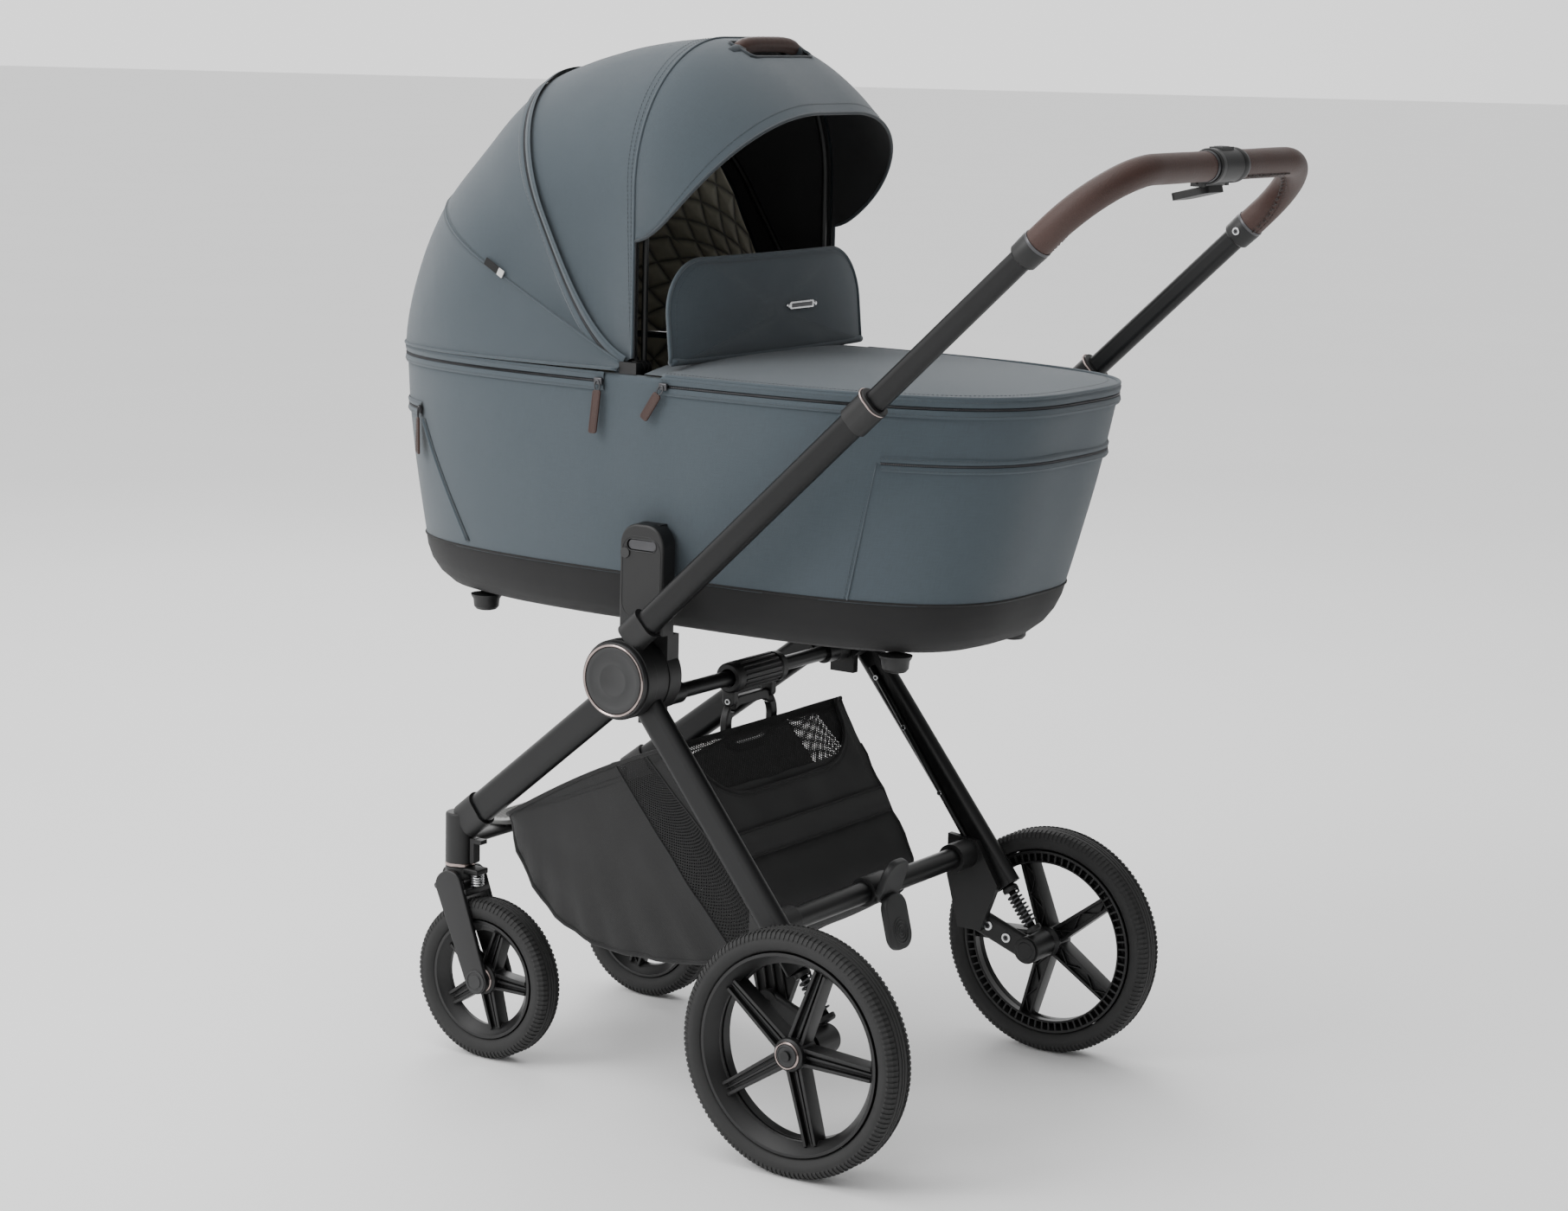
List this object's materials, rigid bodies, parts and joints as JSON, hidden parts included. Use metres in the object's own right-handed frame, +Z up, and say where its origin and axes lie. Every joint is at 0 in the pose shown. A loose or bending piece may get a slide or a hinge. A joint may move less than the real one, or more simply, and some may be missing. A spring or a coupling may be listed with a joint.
{
  "type": "baby stroller",
  "caption": "Folding four-wheel pram chassis with a hooded soft carrycot, telescopic handle, sprung wheels, foot brake and shopping basket.",
  "frame": {"origin": "on the floor, under the centre of the overall box", "axes": "+Z up, +Y forwards, towards the small swivelling wheels, +X to the right hand of the person who pushes"},
  "size_m": [0.616, 1.0586, 1.228],
  "materials": {
    "frame_black": "satin",
    "moulded_black": "matte",
    "button_grey": "satin",
    "hub_cap": "satin",
    "steel": "satin",
    "leather_brown": "embossed",
    "fabric_blue": "woven",
    "fabric_black": "woven",
    "mattress_cloth": "quilted",
    "tyre": "treaded",
    "rim_black": "satin"
  },
  "bodies": {
    "front_frame": {"front_legs": "frame_black", "caster_sockets": "moulded_black", "hub_cores": "moulded_black", "hub_pins": "steel", "hub_caps": "hub_cap", "adapter_posts": "moulded_black", "fold_bar": "frame_black", "fold_sleeve": "moulded_black", "front_bar": "moulded_black", "basket": "fabric_black"},
    "rear_frame": {"rear_legs": "frame_black", "rear_hubs": "moulded_black", "rear_cross_tube": "frame_black", "rear_brackets": "moulded_black", "rear_springs": "steel"},
    "brake_pedal": {"brake_pedal": "moulded_black"},
    "handle_lower": {"handle_hubs": "moulded_black", "lower_tubes": "frame_black", "telescope_collars": "moulded_black"},
    "handle_upper": {"handlebar_tubes": "frame_black", "grips": "leather_brown", "grip_housing": "moulded_black"},
    "fold_button": {"fold_button": "button_grey"},
    "squeeze_lever": {"squeeze_lever": "moulded_black"},
    "pull_ring": {"pull_ring": "moulded_black"},
    "carrycot": {"cot_cover": "fabric_blue", "cot_base": "fabric_black", "mattress": "mattress_cloth", "apron": "fabric_blue", "cot_connectors": "moulded_black", "hood_pivots": "moulded_black"},
    "wind_flap": {"wind_flap": "fabric_blue"},
    "hood_rear": {"hood_bow_rear": "steel", "hood_panel_rear": "fabric_blue"},
    "hood_mid": {"hood_bow_mid": "steel", "hood_panel_mid": "fabric_blue"},
    "hood_front": {"hood_bow_front": "steel", "hood_panel_front": "fabric_blue", "hood_visor": "fabric_blue", "carry_grip": "leather_brown"},
    "swing_arm_left": {"swing_arm_left": "moulded_black"},
    "rear_wheel_left": {"rear_tyre_left": "tyre", "rear_rim_left": "rim_black"},
    "caster_left": {"caster_left": "moulded_black", "front_spring_left": "steel"},
    "fork_left": {"fork_left": "moulded_black"},
    "front_wheel_left": {"front_tyre_left": "tyre", "front_rim_left": "rim_black"},
    "swivel_lock_left": {"swivel_lock_left": "moulded_black"},
    "release_button_left": {"release_button_left": "button_grey"},
    "swing_arm_right": {"swing_arm_right": "moulded_black"},
    "rear_wheel_right": {"rear_tyre_right": "tyre", "rear_rim_right": "rim_black"},
    "caster_right": {"caster_right": "moulded_black", "front_spring_right": "steel"},
    "fork_right": {"fork_right": "moulded_black"},
    "front_wheel_right": {"front_tyre_right": "tyre", "front_rim_right": "rim_black"},
    "swivel_lock_right": {"swivel_lock_right": "moulded_black"},
    "release_button_right": {"release_button_right": "button_grey"}
  },
  "joints": [
    {"name": "chassis_fold", "type": "hinge", "parent": "front_frame", "child": "rear_frame", "pos_m": [0, 0.08227, 0.515], "axis": [1, 0, 0], "range_deg": [0, 62], "deforming": ["basket"]},
    {"name": "handle_fold", "type": "hinge", "parent": "front_frame", "child": "handle_lower", "pos_m": [0, 0.08227, 0.515], "axis": [-1, 0, 0], "range_deg": [0, 158.01]},
    {"name": "handle_telescope", "type": "slide", "parent": "handle_lower", "child": "handle_upper", "axis": [0, -0.7278, 0.6858], "range_m": [-0.12, 0.06]},
    {"name": "fold_button_press", "type": "slide", "parent": "handle_upper", "child": "fold_button", "axis": [0, 0, -1], "range_m": [0, 0.002], "stiffness_N_per_m": 300, "springref_m": -0.002},
    {"name": "squeeze_lever_pull", "type": "hinge", "parent": "handle_upper", "child": "squeeze_lever", "pos_m": [0, -0.50177, 1.0946], "axis": [1, 0, 0], "range_deg": [0, 10], "stiffness_Nm_per_rad": 1, "springref_deg": -8.59},
    {"name": "brake_pedal_tilt", "type": "hinge", "parent": "rear_frame", "child": "brake_pedal", "pos_m": [0, -0.10573, 0.25], "axis": [1, 0, 0], "range_deg": [0, 17]},
    {"name": "pull_ring_swing", "type": "hinge", "parent": "front_frame", "child": "pull_ring", "pos_m": [0, 0.07627, 0.456], "axis": [1, 0, 0], "range_deg": [-35, 35]},
    {"name": "carrycot_lift", "type": "slide", "parent": "front_frame", "child": "carrycot", "axis": [0, 0, 1], "range_m": [0, 0.3]},
    {"name": "wind_flap_fold", "type": "hinge", "parent": "carrycot", "child": "wind_flap", "pos_m": [0, 0.04927, 0.8706], "axis": [1, 0, 0], "range_deg": [0, 78]},
    {"name": "hood_rear_fold", "type": "hinge", "parent": "carrycot", "child": "hood_rear", "pos_m": [0, 0.10727, 0.86], "axis": [-1, 0, 0], "range_deg": [0, 17], "deforming": ["hood_panel_rear"]},
    {"name": "hood_mid_fold", "type": "hinge", "parent": "hood_rear", "child": "hood_mid", "pos_m": [0, 0.10727, 0.86], "axis": [-1, 0, 0], "range_deg": [0, 23.01], "deforming": ["hood_panel_mid"]},
    {"name": "hood_front_fold", "type": "hinge", "parent": "hood_mid", "child": "hood_front", "pos_m": [0, 0.10727, 0.86], "axis": [-1, 0, 0], "range_deg": [0, 25.01], "deforming": ["hood_panel_front"]},
    {"name": "rear_suspension_left", "type": "hinge", "parent": "rear_frame", "child": "swing_arm_left", "pos_m": [-0.23, -0.11373, 0.168], "axis": [-1, 0, 0], "range_deg": [0, 9], "stiffness_Nm_per_rad": 90, "springref_deg": -6.88, "deforming": ["rear_springs"]},
    {"name": "rear_wheel_spin_left", "type": "hinge", "parent": "swing_arm_left", "child": "rear_wheel_left", "pos_m": [-0.285, -0.18973, 0.14], "axis": [1, 0, 0], "continuous": true},
    {"name": "caster_swivel_left", "type": "hinge", "parent": "front_frame", "child": "caster_left", "pos_m": [-0.165, 0.38227, 0.232], "axis": [0, 0, 1], "continuous": true},
    {"name": "front_suspension_left", "type": "hinge", "parent": "caster_left", "child": "fork_left", "pos_m": [-0.165, 0.39727, 0.208], "axis": [-1, 0, 0], "range_deg": [0, 5], "stiffness_Nm_per_rad": 90, "springref_deg": -5.73, "deforming": ["front_spring_left"]},
    {"name": "front_wheel_spin_left", "type": "hinge", "parent": "fork_left", "child": "front_wheel_left", "pos_m": [-0.165, 0.33627, 0.0985], "axis": [1, 0, 0], "continuous": true},
    {"name": "swivel_lock_left", "type": "hinge", "parent": "front_frame", "child": "swivel_lock_left", "pos_m": [-0.165, 0.35977, 0.24], "axis": [1, 0, 0], "range_deg": [0, 25]},
    {"name": "release_button_left", "type": "slide", "parent": "front_frame", "child": "release_button_left", "axis": [1, 0, 0], "range_m": [0, 0.0015], "stiffness_N_per_m": 300, "springref_m": -0.002},
    {"name": "rear_suspension_right", "type": "hinge", "parent": "rear_frame", "child": "swing_arm_right", "pos_m": [0.23, -0.11373, 0.168], "axis": [-1, 0, 0], "range_deg": [0, 9], "stiffness_Nm_per_rad": 90, "springref_deg": -6.88, "deforming": ["rear_springs"]},
    {"name": "rear_wheel_spin_right", "type": "hinge", "parent": "swing_arm_right", "child": "rear_wheel_right", "pos_m": [0.285, -0.18973, 0.14], "axis": [1, 0, 0], "continuous": true},
    {"name": "caster_swivel_right", "type": "hinge", "parent": "front_frame", "child": "caster_right", "pos_m": [0.165, 0.38227, 0.232], "axis": [0, 0, 1], "continuous": true},
    {"name": "front_suspension_right", "type": "hinge", "parent": "caster_right", "child": "fork_right", "pos_m": [0.165, 0.39727, 0.208], "axis": [-1, 0, 0], "range_deg": [0, 5], "stiffness_Nm_per_rad": 90, "springref_deg": -5.73, "deforming": ["front_spring_right"]},
    {"name": "front_wheel_spin_right", "type": "hinge", "parent": "fork_right", "child": "front_wheel_right", "pos_m": [0.165, 0.33627, 0.0985], "axis": [1, 0, 0], "continuous": true},
    {"name": "swivel_lock_right", "type": "hinge", "parent": "front_frame", "child": "swivel_lock_right", "pos_m": [0.165, 0.35977, 0.24], "axis": [1, 0, 0], "range_deg": [0, 25]},
    {"name": "release_button_right", "type": "slide", "parent": "front_frame", "child": "release_button_right", "axis": [-1, 0, 0], "range_m": [0, 0.0015], "stiffness_N_per_m": 300, "springref_m": -0.002}
  ],
  "couplings": [
    {"joint": "handle_fold", "follows": "chassis_fold", "ratio": 2.5484},
    {"joint": "hood_mid_fold", "follows": "hood_rear_fold", "ratio": 1.3529},
    {"joint": "hood_front_fold", "follows": "hood_rear_fold", "ratio": 1.4706}
  ]
}
